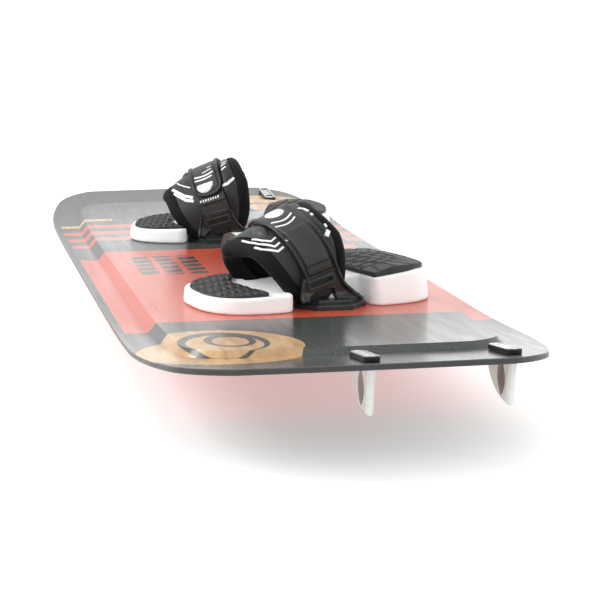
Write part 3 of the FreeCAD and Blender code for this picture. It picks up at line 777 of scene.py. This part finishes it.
def toe_cushion_spot(row, column):
    """A crowned oval beside the band."""
    turn = 2 * math.pi * column
    along = TOE_CUSHION[0] + TOE_CUSHION[2] * row * math.cos(turn)
    across = TOE_CUSHION[1] + TOE_CUSHION[3] * row * math.sin(turn)
    return along, across, shell_lift(along, across) - 0.8 + TOE_CUSHION[4] * (1 - row ** 3)


dome = bent_sheet(18, 64, toe_cushion_spot)
bmesh.ops.remove_doubles(dome, verts=dome.verts, dist=1e-6)
pair("toe_cushion", outwards(dome), cushion_finish, [])

print_finish, shader = finish("white_rubber_print")
mix = Recipe(print_finish, shader)
place = mix.place()
mix.paint(mix.mix(mix.span(mix.noise(place, 150.0), 0.3, 0.7, 0, 1),
                  colour(0.86, 0.86, 0.85), colour(0.74, 0.75, 0.74)))
mix.rough(0.45)
mix.bump(mix.noise(place, 900.0), 0.00006, 0.5)


def through(path, step=1.5):
    """Points every few millimetres along straight runs."""
    out = []
    for a, b in zip(path, path[1:]):
        a, b = Vector(a), Vector(b)
        count = max(int((b - a).length / step), 1)
        out += [a.lerp(b, i / count) for i in range(count)]
    return out + [Vector(path[-1])]


def prints(runs, lift, proud=0.5):
    """Raised prints, each half wide about a path of (along, across) points, as one mesh."""
    joined = bmesh.new()
    for half, path in runs:
        points = through(path)

        def spot(row, column):
            at = round(row * (len(points) - 1))
            ahead = points[min(at + 1, len(points) - 1)] - points[max(at - 1, 0)]
            side = Vector((-ahead.y, ahead.x)).normalized() * half * (2 * column - 1)
            along, across = points[at] + side
            return along, across, lift(along, across) + proud
        strip = outwards(bent_sheet(len(points) - 1, 2, spot))
        bmesh.ops.solidify(strip, geom=strip.faces[:], thickness=0.001)
        held = bpy.data.meshes.new("held")
        strip.to_mesh(held)
        joined.from_mesh(held)
        strip.free()
        bpy.data.meshes.remove(held)
    return joined


def lay(name, side, runs, lift, body="root", proud=0.5):
    """The prints of one binding. The paths are the far one's; the near one is mirrored."""
    mesh = prints(runs, lift, proud)
    part = piece("%s_%s" % (name, side), mirrored(mesh) if side == "near" else mesh,
                 print_finish, smooth=False)
    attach(part, body)
    return part


lay("shell_marks", "near", (
    (1.1, ((16, 42.5), (30, 37), (39, 30), (37, 23))),
    (1.2, ((3, 50), (17, 48), (32, 42), (48, 30), (46, 23))),
    (1.3, ((33, 48), (42, 43.5), (55, 30), (53, 22))),
    (1.6, ((5, -24), (14, -26), (25, -26))), (1.4, ((30, -26), (34, -26))),
    (1.3, ((50, -31), (54, -31))), (2.4, ((58, -31), (63, -25)))), shell_lift)
lay("shell_marks", "far", (
    (2.0, ((-36, 49), (-47, 42), (-57, 34), (-65, 22))),
    (2.0, ((-46, 47), (-56, 40), (-65, 32), (-70, 22))),
    (0.9, ((-22, 42), (-32, 38), (-41, 31), (-48, 23))),
    (1.7, ((-64, -21), (-64, -30), (-57, -39))),
    (1.0, ((-26, -25), (-22, -32))), (1.0, ((-33, -24), (-29, -31))),
    (1.0, ((-41, -24), (-37, -31)))), shell_lift)

# ---- Band and flap -----------------------------------------------------------------------
# One synthetic leather strap runs from the outboard bracket over the crest and part way down
# the other side, with piped edges and a rounded end.
BAND_HALF = 21.0
BAND_START = arch_length(41.4)
FLAP_STOP = -72.0
FLAP_CORNER = 18.0
BAND_CREST, BAND_ASKEW, BAND_EASE = 5.0, 0.11, 10.0
BAND_LIFT, BAND_THICK = 7.0, 3.4
PIPING = (4.6, 2.7)                           # width and height of the piped edge
PANEL = (39.0, 84.0)                          # raised face panel, along the outboard leg


def band_middle(along):
    """The band runs from toe side at the crest to heel side at its feet."""
    return BAND_CREST - BAND_ASKEW * math.hypot(along, BAND_EASE)


def flap_edge(off):
    """Where the strap's rounded free end lies at this distance from its middle."""
    over = max(abs(off) - (BAND_HALF - FLAP_CORNER), 0)
    return FLAP_STOP + FLAP_CORNER - math.sqrt(max(FLAP_CORNER ** 2 - over ** 2, 0))


def band_lift(along, across):
    """Piped edge, a groove inside it, a flat face and a raised panel on the outboard leg."""
    off = across - band_middle(along)
    edge = min(BAND_HALF - abs(off), along - flap_edge(off), BAND_START - along + 6)
    wide, high = PIPING
    if edge < wide:
        return BAND_LIFT + high * math.sqrt(max(1 - (2 * edge / wide - 1) ** 2, 0))
    inside = min(edge - 6.2, along - PANEL[0], PANEL[1] - along)
    panel = 1.1 * min(max(inside / 1.6, 0), 1)
    face = BAND_LIFT + 0.5 + 0.6 * min((edge - wide) / 6, 1)
    return face + panel - notch(edge - 5.2, 1.4, 1.2)


def band_spot(row, column):
    off = -BAND_HALF + 2 * BAND_HALF * column
    stop = flap_edge(off)
    along = stop + (BAND_START - stop) * row
    across = off + band_middle(along)
    return along, across, band_lift(along, across)


leather_finish, shader = finish("band_leather", IOR=1.5)
mix = Recipe(leather_finish, shader)
place = mix.place()
pebble = mix.cells(place, 900.0, "SMOOTH_F1")
shade = mix.noise(place, 45.0, 4.0)
u, v, _ = mix.split(mix.place("UV"))
# distance from the middle of the band, as in band_middle
reach = mix.math("SQRT", mix.math("ADD", BAND_EASE ** 2, mix.math(
    "POWER", mix.math("DIVIDE", u, MM), 2.0)))
middle = mix.math("SUBTRACT", BAND_CREST, mix.math("MULTIPLY", reach, BAND_ASKEW))
off = mix.math("SUBTRACT", v, mix.math("MULTIPLY", MM, middle))
seam = mix.stripe(mix.math("ABSOLUTE", off), 0.0135, 0.0005, 0.0002)
thread = mix.math("PINGPONG", mix.math("ADD", u, 1.0), 0.0020)
stitch = mix.both(seam, mix.above(thread, 0.0007, 0.0002))
rim = mix.above(mix.math("ABSOLUTE", off), 0.0158, 0.0008)
face = mix.mix(mix.span(shade, 0.3, 0.7, 0, 1), colour(0.012, 0.014, 0.013),
               colour(0.024, 0.027, 0.0255))
face = mix.mix(rim, face, colour(0.006, 0.0065, 0.0065))
mix.paint(mix.mix(mix.both(stitch, 0.8), face, colour(0.06, 0.06, 0.06)))
mix.rough(mix.span(shade, 0.3, 0.7, 0.36, 0.52))
mix.bump(mix.math("ADD", pebble, mix.math("MULTIPLY", stitch, 2.0)), 0.00018, 0.6)


def bend_at_crest(part, side, sign):
    """The part's placement is baked into its mesh."""
    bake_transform(part)


band = outwards(bent_sheet(180, 76, band_spot))
bmesh.ops.solidify(band, geom=band.faces[:], thickness=BAND_THICK * MM)
for side, sign, mesh in (("near", -1, mirrored(band)), ("far", 1, band)):
    part = piece("strap_" + side, mesh, leather_finish)
    bend_at_crest(part, side, sign)
    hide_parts("strap_band_" + side, "strap_flap_" + side)

# ---- Lower strap -------------------------------------------------------------------------
# The other half of the strap comes up from the inboard bracket and passes under the flap, where
# hook and loop tape holds the two. Below the flap it shows piped edges and a sunk panel.
LOWER_HALF, LOWER_TOP, LOWER_LIFT = 19.0, -24.0, 4.4
SUNK_PANEL = (-92, -80)                       # along, above the inboard bracket


def lower_strap_lift(along, across):
    """Flat under the flap; past its end a piped face with a sunk panel above the bracket."""
    shown = min(max((-68 - along) / 6, 0), 1)
    edge = LOWER_HALF - abs(across - band_middle(along))
    piping = 2.4 * math.sqrt(max(1 - ((edge - 2.2) / 2.2) ** 2, 0)) if edge < 4.4 else 0
    panel = 2.2 if edge > 5.2 and SUNK_PANEL[0] < along < SUNK_PANEL[1] else 0
    ledge = 1.2 if SUNK_PANEL[1] <= along < -77.5 else 0
    return LOWER_LIFT + shown * (1.9 + piping - panel + ledge)


def lower_strap_spot(row, column):
    along = -BAND_START + (BAND_START + LOWER_TOP) * row
    across = band_middle(along) - LOWER_HALF + 2 * LOWER_HALF * column
    return along, across, lower_strap_lift(along, across)


lower = outwards(bent_sheet(110, 66, lower_strap_spot))
bmesh.ops.solidify(lower, geom=lower.faces[:], thickness=0.0012)
pair("lower_strap", lower, leather_finish, [])

# ---- Marks and badge on the strap --------------------------------------------------------
# White rubber stripes are printed across the strap beside a raised white badge, and a row of
# short bars below the flap. The near strap is pulled further outboard than the far one, so its
# badge sits across the crest.
LABEL_BARS = (-13, -9.5, -6, -2.5, 1, 4.5, 8, 11.5)


def arc_across(at, bow, ends):
    """A line across the band, bowed outboard in its middle."""
    middle, reach = (ends[0] + ends[1]) / 2, (ends[1] - ends[0]) / 2
    return [(at + bow * (1 - ((q - middle) / reach) ** 2), q)
            for q in (ends[0] + reach * i / 8 for i in range(17))]


lay("band_marks", "near", ((1.1, arc_across(17, 6, (-9, 17))),
                           (0.9, arc_across(26, 5, (-8, 18))),
                           (1.3, ((49, 15.5), (50.5, 18)))), band_lift)
lay("flap_marks", "far", ((1.3, arc_across(-38, -3, (-12, 15))),
                          (1.1, arc_across(-44.5, -2, (-10, 15))),
                          (0.8, ((-31, -10), (-34.5, 3))), (0.7, ((-24, -10), (-26, -4)))),
    band_lift, "flap_far")
for side in ("near", "far"):
    lay("label_dashes", side, tuple((0.9, ((-73.5, q), (-76.5, q + 0.6))) for q in LABEL_BARS),
        lower_strap_lift)


def badge_sheet(along, across, half, sector):
    """A crowned oval on the band, or the part of one between two angles."""
    def spot(row, column):
        turn = math.radians(sector[0] + (sector[1] - sector[0]) * column)
        here = (along + half[0] * row * math.cos(turn), across + half[1] * row * math.sin(turn))
        return here[0], here[1], band_lift(*here) - 0.4 + 1.9 * (1 - row ** 4)
    bm = bent_sheet(14, 64, spot)
    bmesh.ops.remove_doubles(bm, verts=bm.verts, dist=1e-6)
    return outwards(bm)


badge_finish, shader = finish("badge_rubber", Roughness=0.42)
mix = Recipe(badge_finish, shader)
place = mix.place()
swirl = mix.noise(place, 95.0, 1.0)
line = mix.stripe(mix.math("PINGPONG", swirl, 0.09), 0.045, 0.0065, 0.004)
mix.paint(mix.mix(mix.both(line, 0.85), colour(0.84, 0.85, 0.84), colour(0.10, 0.11, 0.11)))
mix.bump(mix.math("SUBTRACT", 1.0, line), 0.0003, 0.6)
badge = piece("badge_near", mirrored(badge_sheet(-1, 3.0, (13.5, 11.5), (0, 360))), badge_finish)
bend_at_crest(badge, "near", -1)
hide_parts("flap_badge_near")
badge = piece("badge_far", badge_sheet(-54, 2.0, (12.5, 12.5), (90, 270)), badge_finish)
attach(badge, "flap_far")
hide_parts("flap_badge_far")

# ---- Brackets ----------------------------------------------------------------------------
# Moulded nylon brackets hold the strap to its plates: a tapering plate with ribs up its edges,
# a raised frame round an adjusting slot, and a pocket at the foot for the screw.
BRACKET_TOP, BRACKET_TOP_HALF, BRACKET_THICK = 41.0, 22.5, 4.2
BRACKET_LIFT, BRACKET_RIB = 6.0, (4.4, 4.2)   # the rib's width and height
POCKET = (17, 21)                             # half width and height of the screw's pocket
SLOT_FRAME = (15.5, 30.5, 4.2)                # half length, height of its middle, half width


def bracket_half(height, across):
    """Half width at this height. The heel side flares further out at its foot."""
    foot = 16.0 if across < 0 else 12.0
    flare = (9.0 if across < 0 else 3.0) * max(0.0, (24 - height) / 20) ** 1.6
    return BRACKET_TOP_HALF + foot * (BRACKET_TOP - height) / 51 + flare


def bracket_spot(side):
    def spot(row, column):
        share = 2 * column - 1
        foot = (CLAMP_TOP + math.sin(STRAP_LEAN) * share * 36) / math.cos(STRAP_LEAN)
        height = foot + (BRACKET_TOP - foot) * row
        half = bracket_half(height, share)
        middle = -3.5 * (height - foot) / (BRACKET_TOP - foot)
        across = share * half + middle
        edge = half - abs(share * half)
        lift = BRACKET_LIFT
        if edge < BRACKET_RIB[0]:
            lift += BRACKET_RIB[1] * math.sqrt(max(1 - (2 * edge / BRACKET_RIB[0] - 1) ** 2, 0))
        over, up = abs(across + 3), height - SLOT_FRAME[1]
        frame_edge = max(over - SLOT_FRAME[0], abs(up) - SLOT_FRAME[2])
        if frame_edge < -1.4:
            lift -= 3.2
        elif frame_edge < 1.6:
            lift += 1.6
        if height > BRACKET_TOP - 2.6:
            lift += 1.8
        near_foot = max(0.0, 1 - (height - foot) / 9)
        lift += 7 * near_foot ** 2
        return side * arch_length(height), across, lift
    return spot


to_strap = STRAP_PLACE.inverted()
for label, side in (("outboard", 1), ("inboard", -1)):
    bm = bent_sheet(64, 96, bracket_spot(side))
    pocket = []
    for face in bm.faces:
        middle = to_strap @ face.calc_center_median()
        off = abs(middle.y) / POCKET[0]
        if off < 1 and middle.z < POCKET[1] - 4 * off ** 4:
            pocket.append(face)
    bmesh.ops.delete(bm, geom=pocket, context="FACES")
    outwards(bm)
    bmesh.ops.solidify(bm, geom=bm.faces[:], thickness=BRACKET_THICK * MM)
    pair("bracket_" + label, bm, nylon_finish, ["bracket_" + label])
